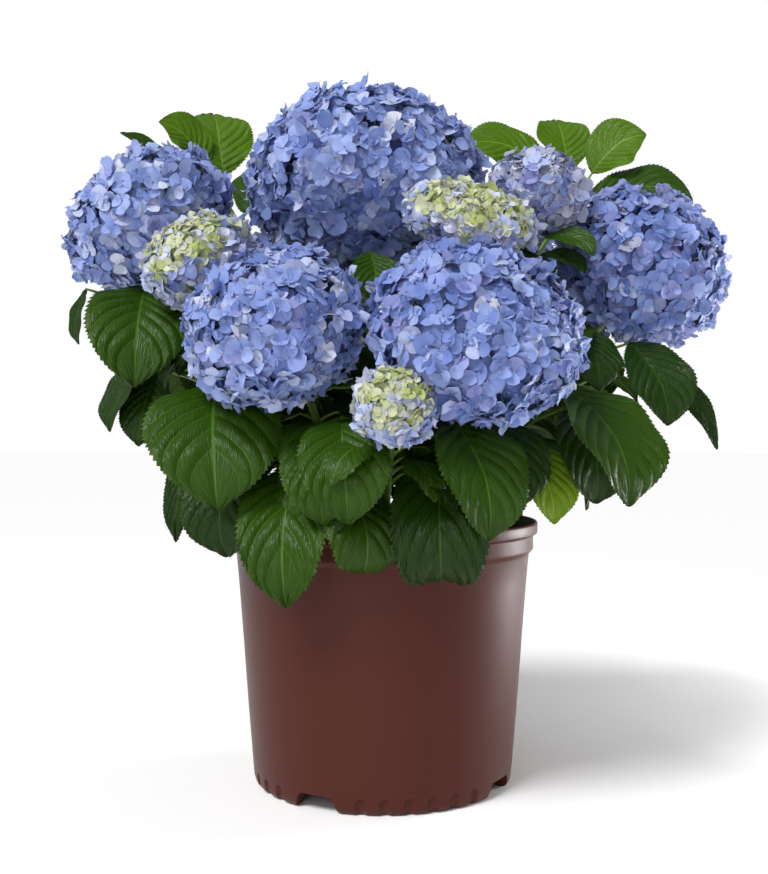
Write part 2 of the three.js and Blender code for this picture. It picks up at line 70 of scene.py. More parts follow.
def grain_group():
    """Small relief from the object's own coordinates: pits, crumbs or fibres by its scales."""
    group = bpy.data.node_groups.new("surface_grain", "ShaderNodeTree")
    socket = group.interface.new_socket
    socket(name="Vector", in_out="INPUT", socket_type="NodeSocketVector")
    socket(name="Scale", in_out="INPUT", socket_type="NodeSocketFloat")
    socket(name="Strength", in_out="INPUT", socket_type="NodeSocketFloat")
    socket(name="Depth", in_out="INPUT", socket_type="NodeSocketFloat")
    socket(name="Normal", in_out="OUTPUT", socket_type="NodeSocketVector")
    nodes, links = group.nodes, group.links
    given, out = nodes.new("NodeGroupInput"), nodes.new("NodeGroupOutput")
    cells = nodes.new("ShaderNodeTexNoise")
    cells.inputs["Detail"].default_value = 4
    bump = nodes.new("ShaderNodeBump")
    links.new(given.outputs["Vector"], cells.inputs["Vector"])
    links.new(given.outputs["Scale"], cells.inputs["Scale"])
    links.new(given.outputs["Strength"], bump.inputs["Strength"])
    links.new(given.outputs["Depth"], bump.inputs["Distance"])
    links.new(cells.outputs["Fac"], bump.inputs["Height"])
    links.new(bump.outputs["Normal"], out.inputs["Normal"])
    return group


SURFACE_GRAIN = grain_group()


def finish(name, colour, roughness, grain=None, **sockets):
    """A surface of one colour. grain is (scale, strength, depth in metres) of its small relief."""
    material = bpy.data.materials.new(name)
    material.use_nodes = True
    nodes, links = material.node_tree.nodes, material.node_tree.links
    surface = nodes["Principled BSDF"]
    surface.inputs["Base Color"].default_value = linear(colour)
    surface.inputs["Roughness"].default_value = roughness
    for socket, value in sockets.items():
        surface.inputs[socket.replace("_", " ")].default_value = value
    if grain:
        where = nodes.new("ShaderNodeTexCoord")
        relief = nodes.new("ShaderNodeGroup")
        relief.node_tree = SURFACE_GRAIN
        for socket, value in zip(("Scale", "Strength", "Depth"), grain):
            relief.inputs[socket].default_value = value
        links.new(where.outputs["Object"], relief.inputs["Vector"])
        links.new(relief.outputs["Normal"], surface.inputs["Normal"])
    return material


def piece(name, mesh, materials, slot, *replaced):
    """Puts a finished mesh into the scene as a piece that stands for the CAD nodes."""
    made = bpy.data.objects.new(name, mesh)
    bpy.context.scene.collection.objects.link(made)
    for material in materials:
        mesh.materials.append(material)
    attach(made, "root")
    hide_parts(*replaced)


def mesh_of(name, bm):
    """A smooth mesh with its faces pointing out, from a bmesh that is then let go."""
    bmesh.ops.recalc_face_normals(bm, faces=bm.faces)
    for face in bm.faces:
        face.smooth = True
    mesh = bpy.data.meshes.new(name)
    bm.to_mesh(mesh)
    bm.free()
    return mesh


def turned(profile, steps):
    """A profile of (radius, height) in millimetres, spun into a closed solid."""
    bm = bmesh.new()
    line = [bm.verts.new((radius * MM, 0, height * MM)) for radius, height in profile]
    edges = [bm.edges.new(pair) for pair in zip(line, line[1:])]
    bmesh.ops.spin(bm, geom=line + edges, cent=(0, 0, 0), axis=(0, 0, 1), dvec=(0, 0, 0),
                   angle=math.tau, steps=steps, use_merge=True, use_duplicate=False)
    bmesh.ops.remove_doubles(bm, verts=bm.verts, dist=1e-6)
    return bm


def flute_depth(turn, height):
    """How far the wall is pushed in at a turn from the front, in degrees, and at a height."""
    quarter = (turn - FIRST_NOTCH) % FOOT_TURN - FOOT_TURN / 2
    nearest = (math.floor(quarter / FLUTE_STEP) + 0.5) * FLUTE_STEP
    if abs(nearest) > FLUTE_STEP * (FLUTES_PER_FOOT - 1) / 2 + 0.1 or height > FLUTE_TOP:
        return 0
    half = FLUTE_HALF_WIDTH
    if height > FLUTE_TOP - half:
        half *= math.sqrt(1 - ((height - FLUTE_TOP + half) / half) ** 2)
    aside = abs(quarter - nearest) * math.pi / 180 * FOOT_RADIUS
    return FLUTE_DEPTH * math.sqrt(max(0, 1 - (aside / max(half, 0.1)) ** 2))


pot_bm = turned(POT_PROFILE, POT_STEPS)
for vert in pot_bm.verts:
    radius = math.hypot(vert.co.x, vert.co.y)
    if radius > FOOT_RING * MM and vert.co.z < FLUTE_TOP * MM:
        turn = math.degrees(math.atan2(vert.co.x, -vert.co.y))
        push = 1 - flute_depth(turn, vert.co.z / MM) * MM / radius
        vert.co.x *= push
        vert.co.y *= push
pot_mesh = mesh_of("nursery_pot", pot_bm)

notch_bm = bmesh.new()
for i in range(NOTCHES):
    cut = bmesh.ops.create_cube(notch_bm, size=1)["verts"]
    for vert in cut:
        width = NOTCH_FOOT_WIDTH if vert.co.z < 0 else NOTCH_TOP_WIDTH
        up = (NOTCH_TOP + NOTCH_FOOT) / 2 + vert.co.z * (NOTCH_TOP - NOTCH_FOOT)
        vert.co = Vector((vert.co.x * width, vert.co.y * NOTCH_REACH - NOTCH_MIDDLE, up)) * MM
    top_corners = [edge for edge in notch_bm.edges
                   if edge.verts[0] in cut and edge.verts[0].co.z > 0
                   and abs(edge.verts[0].co.y - edge.verts[1].co.y) > NOTCH_REACH * MM / 2]
    bmesh.ops.rotate(notch_bm, verts=cut, cent=(0, 0, 0),
                     matrix=Matrix.Rotation(math.radians(FIRST_NOTCH + FOOT_TURN * i), 3, "Z"))
    bmesh.ops.bevel(notch_bm, geom=top_corners, offset=NOTCH_ROUNDING * MM, offset_type="OFFSET",
                    segments=4, profile=0.5, affect="EDGES", material=-1)
notch_object = bpy.data.objects.new("notches", mesh_of("notches", notch_bm))
uncut_pot = bpy.data.objects.new("uncut_pot", pot_mesh)
for made in (notch_object, uncut_pot):
    bpy.context.scene.collection.objects.link(made)
notching = uncut_pot.modifiers.new("notches", "BOOLEAN")
notching.operation, notching.solver, notching.object = "DIFFERENCE", "EXACT", notch_object
bpy.context.view_layer.update()
notched = bpy.data.meshes.new_from_object(
    uncut_pot.evaluated_get(bpy.context.evaluated_depsgraph_get()))
for made in (notch_object, uncut_pot):
    bpy.data.objects.remove(made)
notched.name = "nursery_pot"
notched.set_sharp_from_angle(angle=math.radians(SHARP_EDGE))
pot_plastic = finish("brown_polypropylene", "#461b12", 0.40, (900, 0.12, 0.0004),
                     Specular_IOR_Level=0.2)
piece("nursery_pot", notched, [pot_plastic], "pot_plastic", "pot")

# ---------------------------------------------------------------- potting mix
# Damp composted bark and peat, poured loose round the root ball and settled a little lower
# than the rim. Bark chips and a few grains of white perlite lie on its top.

MIX_TOP, MIX_SIDE, MIX_FOOT, MIX_FLOOR = 180, 112, 3.6, 16.6
MIX_STEPS, MIX_RINGS, LUMP_HEIGHT, MIX_SETTLED = 144, 36, 1.8, 1.2
CHIPS, PERLITE = 1500, 90
CREASE = 80

mix_profile = [(0, MIX_FOOT), (44, MIX_FOOT), (48, MIX_FLOOR), (96, MIX_FLOOR), (110, 170)]
mix_profile += [(MIX_SIDE, 178.6)]
mix_profile += [(MIX_SIDE - 2 - 3 * i, MIX_TOP) for i in range(MIX_RINGS)]
mix_profile += [(0, MIX_TOP)]
mix_bm = turned(mix_profile, MIX_STEPS)
for vert in mix_bm.verts:
    if vert.co.z > (MIX_TOP - 2) * MM:
        lumps = noise.fractal(vert.co * 60, 0.8, 2.1, 4) + 0.5 * noise.noise(vert.co * 320)
        vert.co.z += (LUMP_HEIGHT * lumps - MIX_SETTLED) * MM
mix_mesh = mesh_of("potting_mix_bed", mix_bm)
mix_dark = finish("damp_bark_mix", "#2a1c13", 0.95, (500, 0.8, 0.001))
piece("potting_mix_bed", mix_mesh, [mix_dark], "potting_mix", "potting_mix")


def mesh_from_arrays(name, points, faces, tones=None, smooth=True):
    """A mesh from point coordinates in metres and faces, with a material number for each face."""
    mesh = bpy.data.meshes.new(name)
    mesh.from_pydata(points.reshape(-1, 3).tolist(), [], faces.tolist())
    if tones is not None:
        mesh.polygons.foreach_set("material_index", np.asarray(tones, np.int32))
    mesh.polygons.foreach_set("use_smooth", np.full(len(faces), smooth))
    mesh.update()
    if smooth:
        mesh.set_sharp_from_angle(angle=math.radians(CREASE))
    return mesh


def repeated(faces, points, count):
    """The faces of a shape of so many points, numbered on for each of its copies."""
    return (faces[None] + points * np.arange(count)[:, None, None]).reshape(-1, faces.shape[1])


def small_ball():
    """The points and faces of a twenty-sided ball of radius 1, for things repeated often."""
    bm = bmesh.new()
    bmesh.ops.create_icosphere(bm, subdivisions=1, radius=1)
    points = np.array([vert.co for vert in bm.verts])
    faces = np.array([[vert.index for vert in face.verts] for face in bm.faces])
    bm.free()
    return points, faces


BALL_POINTS, BALL_FACES = small_ball()
draw = np.random.default_rng(7)
grains = CHIPS + PERLITE
spread = np.sqrt(draw.random(grains)) * (MIX_SIDE - 4)
swing = draw.random(grains) * math.tau
long_side = np.where(np.arange(grains) < CHIPS, draw.gamma(3.0, 0.75, grains) + 0.9, 1.3)
sides = np.stack([long_side, long_side * draw.uniform(0.35, 0.8, grains),
                  long_side * draw.uniform(0.25, 0.5, grains)], 1)
sides[CHIPS:] = 1.2 * draw.uniform(0.7, 1.2, (PERLITE, 3))
turns = draw.normal(size=(grains, 3, 3)) * [1, 1, 0.35]
turns = np.linalg.qr(turns + np.eye(3) * [0, 0, 2])[0]
shapes = BALL_POINTS * draw.uniform(0.75, 1.25, (grains, len(BALL_POINTS), 1)) * sides[:, None, :]
shapes = np.einsum("nij,nkj->nki", turns, shapes)
shapes += np.stack([spread * np.cos(swing), spread * np.sin(swing),
                    MIX_TOP - 0.6 + draw.random(grains) * 1.6], 1)[:, None, :]
chip_tones = np.where(np.arange(grains) < CHIPS, draw.integers(0, 3, grains), 3)
chips = mesh_from_arrays("bark_chips", shapes * MM, repeated(BALL_FACES, len(BALL_POINTS), grains),
                         np.repeat(chip_tones, len(BALL_FACES)), smooth=False)
chip_materials = [mix_dark, finish("bark_chip_brown", "#3d2a1b", 0.9),
                  finish("bark_chip_tan", "#57402b", 0.9), finish("perlite", "#b9b4a8", 0.9)]
piece("bark_chips", chips, chip_materials, "potting_mix", "potting_mix")

# ---------------------------------------------------------------- canes
# The bare semi-woody lower stems, pale brown bark with low rings where leaves once grew.
# Each rises from the mix, swells at its foot and leans out to where its leaves begin.
#   foot    [turn, distance from the middle] at the soil
#   head    [right, back, up, radius, flatness, lean outward] of the flower head
#   tip     [right, back, up] of the end of a shoot that has no head
#   leaves  [share of the shoot, stalk turn, stalk length, blade turn, blade length,
#            width as a share of it, rise, droop, roll, curl of the tip, tone]
#   pairs   [further leaf pairs, the turn that they face, the first one's share, tone]

CANE_SUNK, CANE_SIDES, STEPS_PER_SHOOT, STEPS_PER_RING = 5, 14, 90, 9
CANE_RADIUS, RADIUS_PER_HEAD, STEM_TAPER, BARK_DEPTH = 3.1, 0.016, 0.4, 0.35
FOOT_FLARE, FOOT_FLARE_LENGTH, BARE_BELOW_LEAF, NECK_DEPTH = 0.55, 0.07, 0.06, 0.88
# tone 0 is the deep green, given partly as painted shade to leaves that sit in shade under the heads
# and at the right
SHOOTS = {
    "crown": dict(foot=[200, 8], head=[-14, 25, 466, 101, 0.81, 5], leaves=[
        [0.58, 0, 55, 8, 75, 0.60, -20, 50, 0, 30, 0],
        [0.88, 0, 70, 10, 50, 0.70, -40, 20, 0, 30, 1],
        [0.60, 165, 46, 175, 90, 0.62, 10, 60, 0, 30, 1]]),
    "left": dict(foot=[-95, 38], head=[-183, 8, 434, 71, 0.82, 35], leaves=[
        [0.77, -74, 70, 4, 108, 0.70, -20, 50, -12, 30, 1],
        [0.62, -88, 142, -50, 46, 0.50, -60, 30, 0, 30, 0],
        [0.43, -90, 112, -50, 70, 0.62, -42, 20, 0, 30, 0],
        [0.40, -90, 110, -18, 70, 0.60, -48, 20, 0, 30, 0],
        [0.20, -80, 100, -20, 90, 0.28, -50, 30, 0, 30, 0],
        [0.62, -150, 50, -150, 110, 0.66, -14, 52, 0, 30, 1]]),
    "front_left": dict(foot=[-35, 40], head=[-74, -115, 341, 67, 0.87, 40], leaves=[
        [0.40, -45, 38, -6, 125, 0.50, -25, 50, 0, 45, 1],
        [0.60, 10, 36, -5, 94, 0.60, -15, 55, 0, 55, 1]]),
    "front_right": dict(foot=[30, 40], head=[62, -134, 337, 78, 0.78, 38], leaves=[
        [0.55, 20, 26, 0, 140, 0.46, -30, 50, 0, 130, 0],
        [0.72, 15, 32, 27, 108, 0.62, -22, 50, 0, 50, 1],
        [0.68, 68, 46, 20, 84, 0.70, -22, 50, 0, 30, 0],
        [0.40, 85, 78, 28, 76, 0.66, -22, 50, 0, 30, 3],
        [0.66, 90, 102, 38, 112, 0.76, -25, 40, 0, 40, 1]]),
    "right": dict(foot=[85, 40], head=[200, 0, 395, 72, 0.94, 35], leaves=[
        [0.88, 10, 40, 14, 54, 0.75, -45, 30, 0, 30, 0],
        [0.71, 68, 76, 41, 76, 0.70, -34, 40, 25, 30, 0],
        [0.53, 90, 124, 80, 88, 0.35, -42, 20, 35, 20, 0],
        [0.84, 160, 124, 92, 126, 0.46, 20, 24, 0, 25, 0],
        [0.42, 50, 80, 22, 88, 0.70, -30, 55, 0, 45, 0],
        [0.62, 150, 50, 150, 112, 0.66, -14, 52, 0, 30, 1]]),
    "back_left": dict(foot=[-140, 40], head=[-86, 148, 390, 72, 0.80, 35], pairs=[3, -130, 0.40, 1]),
    "back_right": dict(foot=[140, 40], head=[100, 138, 394, 76, 0.80, 35], pairs=[3, 130, 0.44, 1]),
    "upper_right": dict(foot=[85, 22], head=[117, -35, 448, 39, 0.90, 20], leaves=[
        [0.88, 50, 38, 51, 46, 0.45, 4, 40, 40, 30, 1],
        [0.84, 62, 34, 58, 42, 0.40, 0, 35, 40, 30, 0]]),
    "middle": dict(foot=[20, 15], head=[62, -87, 421, 51, 0.50, 20], leaves=[
        [0.45, -70, 30, -70, 50, 0.60, 20, 40, 0, 30, 1]]),
    "left_young": dict(foot=[-60, 25], head=[-134, -60, 394, 45, 0.80, 30], leaves=[
        [0.45, -62, 76, 8, 124, 0.76, -14, 58, 0, 30, 1],
        [0.20, -80, 76, -16, 95, 0.64, -30, 50, 0, 65, 0]]),
    "low_young": dict(foot=[0, 55], head=[8, -176, 287, 28, 0.95, 50], leaves=[
        [0.88, -112, 40, 8, 88, 0.68, -26, 50, 0, 45, 1],
        [0.46, -90, 28, 20, 98, 0.56, -24, 50, 0, 120, 1]]),
    "back_young": dict(foot=[180, 50], head=[5, 172, 330, 50, 0.85, 50], pairs=[2, 180, 0.30, 1]),
    "leafy_left": dict(foot=[-120, 20], tip=[-144, 108, 478], leaves=[
        [0.97, 180, 22, 200, 78, 0.80, 74, 20, 0, 30, 2],
        [0.95, -105, 36, -70, 58, 0.75, 62, 30, -60, 30, 2],
        [0.86, 83, 12, 140, 66, 0.80, 72, 14, 0, 30, 1],
        [0.96, -79, 42, -68, 62, 0.45, 22, -20, -40, 30, 1],
        [0.55, -95, 46, -100, 112, 0.66, -14, 52, 0, 30, 1]]),
    "leafy_right": dict(foot=[130, 26], tip=[174, 98, 478], leaves=[
        [0.97, -90, 36, -83, 80, 0.60, 34, 30, -60, 30, 2],
        [0.96, -151, 28, -165, 60, 0.85, 76, 20, 0, 30, 2],
        [0.93, 95, 34, 84, 58, 0.90, 52, 20, 60, 30, 2],
        [0.92, 60, 22, 80, 88, 0.62, 8, 14, 50, 30, 1],
        [0.50, 105, 60, 110, 100, 0.66, -24, 52, 0, 30, 1]]),
}
UP = np.array([0.0, 0.0, 1.0])
BEND_SHARE = np.array([0.38, 0.38, 0.6])


def bearing(turn):
    """The level direction of a turn, in degrees: 0 is the front and 90 the right."""
    return np.array([math.sin(math.radians(turn)), -math.cos(math.radians(turn)), 0.0])


def numbers_from(seed):
    """A seeded stream of numbers from 0 to 1."""
    state = seed
    while True:
        state = (state * 1664525 + 1013904223) % 4294967296
        yield state / 4294967296


def head_frame(head):
    """The middle of a flower head, its axis and two directions across it."""
    right, back, up, _, _, lean = head
    out = bearing(math.degrees(math.atan2(right, -back)))
    axis = out * math.sin(math.radians(lean)) + UP * math.cos(math.radians(lean))
    u = np.cross(axis, [0, 1, 0])
    u /= np.linalg.norm(u)
    return np.array([right, back, up], float), axis, u, np.cross(u, axis)


def shoot_point(shoot, share):
    """The point at a share of a shoot, from just under the soil to its neck."""
    foot = bearing(shoot["foot"][0]) * shoot["foot"][1] + UP * (MIX_TOP - CANE_SUNK)
    if "head" in shoot:
        middle, axis, _, _ = head_frame(shoot["head"])
        top = middle - axis * shoot["head"][3] * shoot["head"][4] * NECK_DEPTH
    else:
        top = np.array(shoot["tip"], float)
    bend = foot * (1 - BEND_SHARE) + top * BEND_SHARE
    return foot * (1 - share) ** 2 + bend * 2 * share * (1 - share) + top * share ** 2


def shoot_radius(shoot, share):
    """The radius of a shoot at a share of it: it flares at the foot and tapers to the neck."""
    foot = CANE_RADIUS + (shoot["head"][3] * RADIUS_PER_HEAD if "head" in shoot else 0)
    return foot * (1 - STEM_TAPER * share + FOOT_FLARE * math.exp(-share / FOOT_FLARE_LENGTH))


def grow_limb(bm, points, radii, sides, part=0):
    """Extrudes a ring of edges from point to point, and closes both of its ends."""
    points = [Vector(point) * MM for point in points]
    headings = [(b - a).normalized() for a, b in zip(points, points[1:])]
    headings = ([headings[0]] + [(a + b).normalized() for a, b in zip(headings, headings[1:])]
                + [headings[-1]])
    turn = headings[0].to_track_quat("Z", "X")
    places = []
    for i, (point, heading, radius) in enumerate(zip(points, headings, radii)):
        if i:
            turn = headings[i - 1].rotation_difference(heading) @ turn
        places.append(Matrix.LocRotScale(point, turn, Vector((radius * MM,) * 3)))
    ring = bmesh.ops.create_circle(bm, cap_ends=True, segments=sides, radius=1,
                                   matrix=places[0])["verts"]
    faces = [ring[0].link_faces[0]]
    edges = list(faces[0].edges)
    for before, after in zip(places, places[1:]):
        grown = bmesh.ops.extrude_edge_only(bm, edges=edges)["geom"]
        ring = {g for g in grown if isinstance(g, bmesh.types.BMVert)}
        faces += [g for g in grown if isinstance(g, bmesh.types.BMFace)]
        edges = [g for g in grown
                 if isinstance(g, bmesh.types.BMEdge) and ring.issuperset(g.verts)]
        bmesh.ops.transform(bm, matrix=after @ before.inverted(), verts=list(ring))
    faces += bmesh.ops.contextual_create(bm, geom=edges)["faces"]
    for face in faces:
        face.material_index = part


def scatter(numbers, span):
    """The next number of a stream, laid evenly over a span round 0."""
    return (next(numbers) - 0.5) * span


# leaf pairs: how far each turns from where its shoot faces, its sizes and how much they vary
PAIR_STEP, PAIR_SPREADS, PAIR_TURN_SPAN, PAIR_INTURN = 0.2, [50, 28, 40], 16, 8
PAIR_STALK, PAIR_LENGTH, PAIR_SHRINK, PAIR_LENGTH_SPAN, PAIR_WIDE = 42, 122, 12, 18, 0.66
PAIR_RISE, PAIR_RISE_SPAN, PAIR_DROOP, PAIR_ROLL_SPAN, PAIR_CURL = -14, 12, 52, 24, 35
PAIR_SEED, SMALL_SEED, SEED_STEP = 101, 900, 37
# the leaves of the pairs that would touch a neighbour
NO_ROOM = {"back_left": [4, 5], "back_right": [2, 5], "back_young": [2, 3]}

for number, (name, shoot) in enumerate(SHOOTS.items()):
    shoot.setdefault("leaves", [])
    count, facing, first, tone = shoot.get("pairs", [0, 0, 0, 0])
    numbers = numbers_from(PAIR_SEED + number * SEED_STEP)
    for pair in range(count):
        for hand in (-1, 1):
            turn = facing + hand * PAIR_SPREADS[pair] + scatter(numbers, PAIR_TURN_SPAN)
            length = PAIR_LENGTH - PAIR_SHRINK * pair + scatter(numbers, PAIR_LENGTH_SPAN)
            rise = PAIR_RISE + scatter(numbers, PAIR_RISE_SPAN)
            roll = scatter(numbers, PAIR_ROLL_SPAN)
            shoot["leaves"].append([first + PAIR_STEP * pair, turn, PAIR_STALK,
                                    turn - hand * PAIR_INTURN, length, PAIR_WIDE, rise, PAIR_DROOP,
                                    roll, PAIR_CURL, tone])
    shoot["fork"] = min(leaf[0] for leaf in shoot["leaves"]) - BARE_BELOW_LEAF
    shoot["leaves"] = [leaf for i, leaf in enumerate(shoot["leaves"])
                       if i not in NO_ROOM.get(name, [])]

cane_bark = finish("cane_bark", "#6d5d3c", 0.75, (260, 0.5, 0.0008))
RING_SWELL = {6: 0.16, 7: 0.05}
for name, shoot in SHOOTS.items():
    steps = max(10, round(shoot["fork"] * STEPS_PER_SHOOT))
    shares = [shoot["fork"] * i / steps for i in range(steps + 1)]
    radii = [shoot_radius(shoot, share) * (1 + RING_SWELL.get(i % STEPS_PER_RING, 0))
             for i, share in enumerate(shares)]
    cane_bm = bmesh.new()
    grow_limb(cane_bm, [shoot_point(shoot, share) for share in shares], radii, CANE_SIDES)
    bmesh.ops.recalc_face_normals(cane_bm, faces=cane_bm.faces)
    for vert in cane_bm.verts:
        stretched = Vector((vert.co.x * 900, vert.co.y * 900, vert.co.z * 160))
        vert.co += vert.normal * noise.noise(stretched) * BARK_DEPTH * MM
    cane = mesh_of(name + "_cane_bark", cane_bm)
    piece(name + "_cane_bark", cane, [cane_bark], "cane_bark", name + "_cane")

# ---------------------------------------------------------------- green stems and leaf stalks
# The soft green upper part of each shoot goes on from its cane to the neck of its flower head.
# A smooth round stalk carries each leaf and runs on under the blade as its midrib. Small leaves
# on short stalks, in crossed pairs up the stem, fill the inside of the bush.

STEM_STEPS, STEM_SIDES, JOINT_STEPS, JOINT_SWELL = 24, 12, 8, 0.12
STALK_RADIUS, STALK_PITCH, STALK_PITCH_PER_RISE, STALK_SIDES, STALK_SAG = 1.8, 25, 0.6, 8, 0.05
RIB_START, RIB_END, CURL_START, UPRIGHT = 0.06, 0.86, 0.5, 40
SMALL_STEP, SMALL_LAST, SMALL_STALK, SMALL_STALK_SPAN = 0.07, 0.97, 15, 14
SMALL_TURN_SPAN, SMALL_LENGTH, SMALL_LENGTH_SPAN, SMALL_WIDE = 40, 58, 22, 0.64
SMALL_RISE, SMALL_RISE_SPAN, SMALL_DROOP, SMALL_ROLL_SPAN, SMALL_CURL = 10, 30, 44, 30, 40
DEEP_SHARE = 0.6
# the room that small leaves keep out of: round the pot, and this much of each flower head
POT_ROOM_RADIUS, POT_ROOM_TOP, HEAD_ROOM = 126, 206, 0.86


def blade_frame(shoot, leaf):
    """Where a leaf's stalk and blade start, and a function for its midrib at each share."""
    share, stalk_turn, stalk, turn, length, _, rise, droop, roll, curl, _ = leaf
    root = shoot_point(shoot, share)
    pitch = math.radians(STALK_PITCH + STALK_PITCH_PER_RISE * max(rise, 0))
    base = root + bearing(stalk_turn) * stalk * math.cos(pitch) + UP * stalk * math.sin(pitch)
    out, start, bend = bearing(turn), math.radians(rise), math.radians(droop)
    tight = bend + math.radians(curl) / (1 - CURL_START)
    flat_side = np.array([-out[1], out[0], 0])

    def midrib(shares):
        shares = np.asarray(shares, float)[..., None]
        knee = start - bend * np.minimum(shares, CURL_START)
        angle = knee - tight * np.maximum(shares - CURL_START, 0)
        reach = (math.sin(start) - np.sin(knee)) / bend + (np.sin(knee) - np.sin(angle)) / tight
        climb = (np.cos(knee) - math.cos(start)) / bend + (np.cos(angle) - np.cos(knee)) / tight
        point = base + length * (out * reach + UP * climb)
        upward = UP * np.cos(angle) - out * np.sin(angle)
        level, tilted = math.cos(math.radians(roll)), math.sin(math.radians(roll))
        side = flat_side * level + upward * tilted
        return point, side, upward * level - flat_side * tilted

    return root, base, midrib


def half_width(share):
    """Half of a blade's width at a share of its length, as a share of its widest half."""
    point = np.maximum(0, (share - 0.8) / 0.2)
    swell = np.sin(np.pi * np.clip(share, 0, 1) ** 1.05)
    return np.maximum(swell, 0) ** 0.72 * (1 - 0.35 * point ** 2)


def has_room(shoot, leaf):
    """True for a leaf that stays out of every flower head and clear of the pot."""
    shares = np.linspace(0, 1, 6)
    length, wide = leaf[4:6]
    point, side, _ = blade_frame(shoot, leaf)[2](shares)
    half = (length * wide / 2 * half_width(shares))[:, None]
    spots = np.concatenate([point, point + side * half, point - side * half])
    taken = (np.hypot(spots[:, 0], spots[:, 1]) < POT_ROOM_RADIUS) & (spots[:, 2] < POT_ROOM_TOP)
    for other in SHOOTS.values():
        if "head" in other:
            middle, axis, _, _ = head_frame(other["head"])
            radius, flat = other["head"][3:5]
            along = (spots - middle) @ axis
            across = np.sum((spots - middle) ** 2, 1) - along ** 2
            taken |= across / radius ** 2 + (along / (radius * flat)) ** 2 < HEAD_ROOM
    return not taken.any()


def grow_stalk(bm, shoot, leaf):
    """A leaf's stalk, thickest where it leaves the stem, and the midrib that it becomes."""
    _, _, stalk, _, length, _, rise, _, _, _, _ = leaf
    root, base, midrib = blade_frame(shoot, leaf)
    girth = STALK_RADIUS * min(1, 0.45 + max(stalk, length) / 180)
    blade_start = midrib(0.0)[0]
    sag = np.linalg.norm(base - root) * (STALK_SAG if rise < UPRIGHT else 0)
    path = [root + (blade_start - root) * share + UP * math.sin(math.pi * share) * sag
            for share in np.linspace(0, 1, 9)]
    radii = [girth * (1.25 - 0.55 * share ** 0.5) for share in np.linspace(0, 1, 9)]
    for share in np.linspace(RIB_START, RIB_END, 8):
        point, _, normal = midrib(share)
        path.append(point - normal * (0.9 - 0.5 * share))
        radii.append(girth * (0.66 - 0.5 * share))
    grow_limb(bm, path, radii, STALK_SIDES, part=1)


stem_green = finish("stem_green", "#4f6b22", 0.5)
stalk_green = finish("stalk_green", "#58771f", 0.45)
for number, (name, shoot) in enumerate(SHOOTS.items()):
    numbers = numbers_from(SMALL_SEED + number * SEED_STEP)
    steps = int((SMALL_LAST - shoot["fork"]) / SMALL_STEP)
    small = []
    for step in range(1, steps + 1):
        for hand in (0, 180):
            turn = hand + 90 * step + number * 40 + scatter(numbers, SMALL_TURN_SPAN)
            stalk = SMALL_STALK + SMALL_STALK_SPAN * next(numbers)
            length = SMALL_LENGTH + scatter(numbers, SMALL_LENGTH_SPAN)
            rise = SMALL_RISE - SMALL_RISE_SPAN * next(numbers)
            roll = scatter(numbers, SMALL_ROLL_SPAN)
            tone = int(next(numbers) > DEEP_SHARE) + int("tip" in shoot)
            small.append([shoot["fork"] + SMALL_STEP * step, turn, stalk, turn, length, SMALL_WIDE,
                          rise, SMALL_DROOP, roll, SMALL_CURL, tone])
    shoot["small"] = [leaf for leaf in small if has_room(shoot, leaf)]

    stem_bm = bmesh.new()
    shares = np.linspace(shoot["fork"] + 0.002, 1, STEM_STEPS + 1)
    radii = [shoot_radius(shoot, share) * (1 + (JOINT_SWELL if i % JOINT_STEPS == 4 else 0))
             for i, share in enumerate(shares)]
    grow_limb(stem_bm, [shoot_point(shoot, share) for share in shares], radii, STEM_SIDES)
    for leaf in shoot["leaves"] + shoot["small"]:
        grow_stalk(stem_bm, shoot, leaf)
    stem = mesh_of(name + "_stem_and_stalks", stem_bm)
    piece(name + "_stem_and_stalks", stem, [stem_green, stalk_green], "leaf", name + "_leaves")

# ---------------------------------------------------------------- leaf blades
# Broad pointed blades with a toothed margin. Side veins arch from the midrib towards the tip,
# and the skin bulges a little between them. The upper face shines softly; veins are paler.

SIDE_VEINS = [0.05, 0.12, 0.20, 0.29, 0.39, 0.51, 0.65]
VEIN_HALF_WIDTH, VEIN_ARCH, BLADE_THICKNESS, BLADE_FOLD = 0.0019, 2.6, 0.010, 0.12
TOOTH, QUILT, QUILT_CHANGE, WAVE, MARGIN_CURL, SWAY = 0.8, 0.014, 0.55, 0.08, 0.10, 0.03
MARGIN_THICKNESS, TIP_WIDTH, BLADE_SEED, MAP_STEP, PARTS_PER_TONE = 0.15, 0.012, 500, 9.7, 3


def grid_faces(grid):
    """The four-sided faces between the numbered points of a grid."""
    return np.stack([grid[:-1, :-1], grid[:-1, 1:], grid[1:, 1:], grid[1:, :-1]], -1).reshape(-1, 4)


def both_faces(rows, columns):
    """Point numbers of a sheet's upper face, and of its lower face, which shares the margin."""
    upper = np.arange(rows * columns).reshape(rows, columns)
    lower = upper.copy()
    inner = (rows - 2) * (columns - 2)
    lower[1:-1, 1:-1] = rows * columns + np.arange(inner).reshape(rows - 2, columns - 2)
    return np.concatenate([grid_faces(upper)[:, ::-1], grid_faces(lower)])


